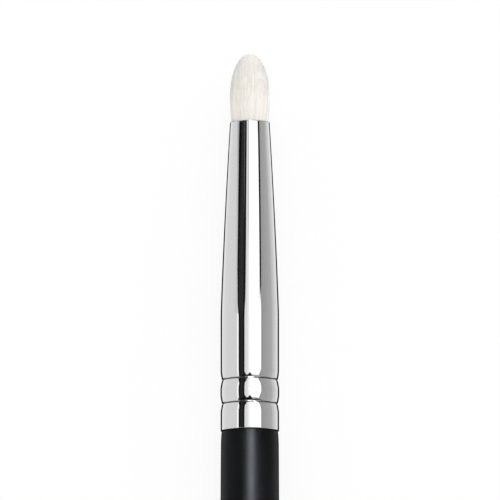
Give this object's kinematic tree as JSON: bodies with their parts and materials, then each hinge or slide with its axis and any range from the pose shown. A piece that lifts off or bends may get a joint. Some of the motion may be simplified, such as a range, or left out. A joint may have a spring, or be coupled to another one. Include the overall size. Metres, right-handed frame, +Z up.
{
  "type": "eyeshadow brush",
  "caption": "Slim eyeshadow brush: bullet-shaped white hair tuft, tapered bright metal ferrule with rolled crimps, black lacquered wooden handle.",
  "frame": {"origin": "on the table under the middle of the brush's length, with the brush lying on its side", "axes": "+X along the brush's axis towards the hair tip, +Y across it, +Z up from the table"},
  "size_m": [0.1702, 0.008, 0.0081],
  "materials": {
    "plated_metal": "polished",
    "birch": "matte",
    "black_lacquer": "satin",
    "clear_glue": "gloss",
    "goat_hair": "matte",
    "binding_thread": "matte"
  },
  "bodies": {
    "root": {"ferrule": "plated_metal", "handle_core": "birch", "handle_lacquer": "black_lacquer", "tenon_glue": "clear_glue", "hair_tuft": "goat_hair", "tuft_thread": "binding_thread", "hair_glue_plug": "clear_glue"}
  },
  "joints": []
}
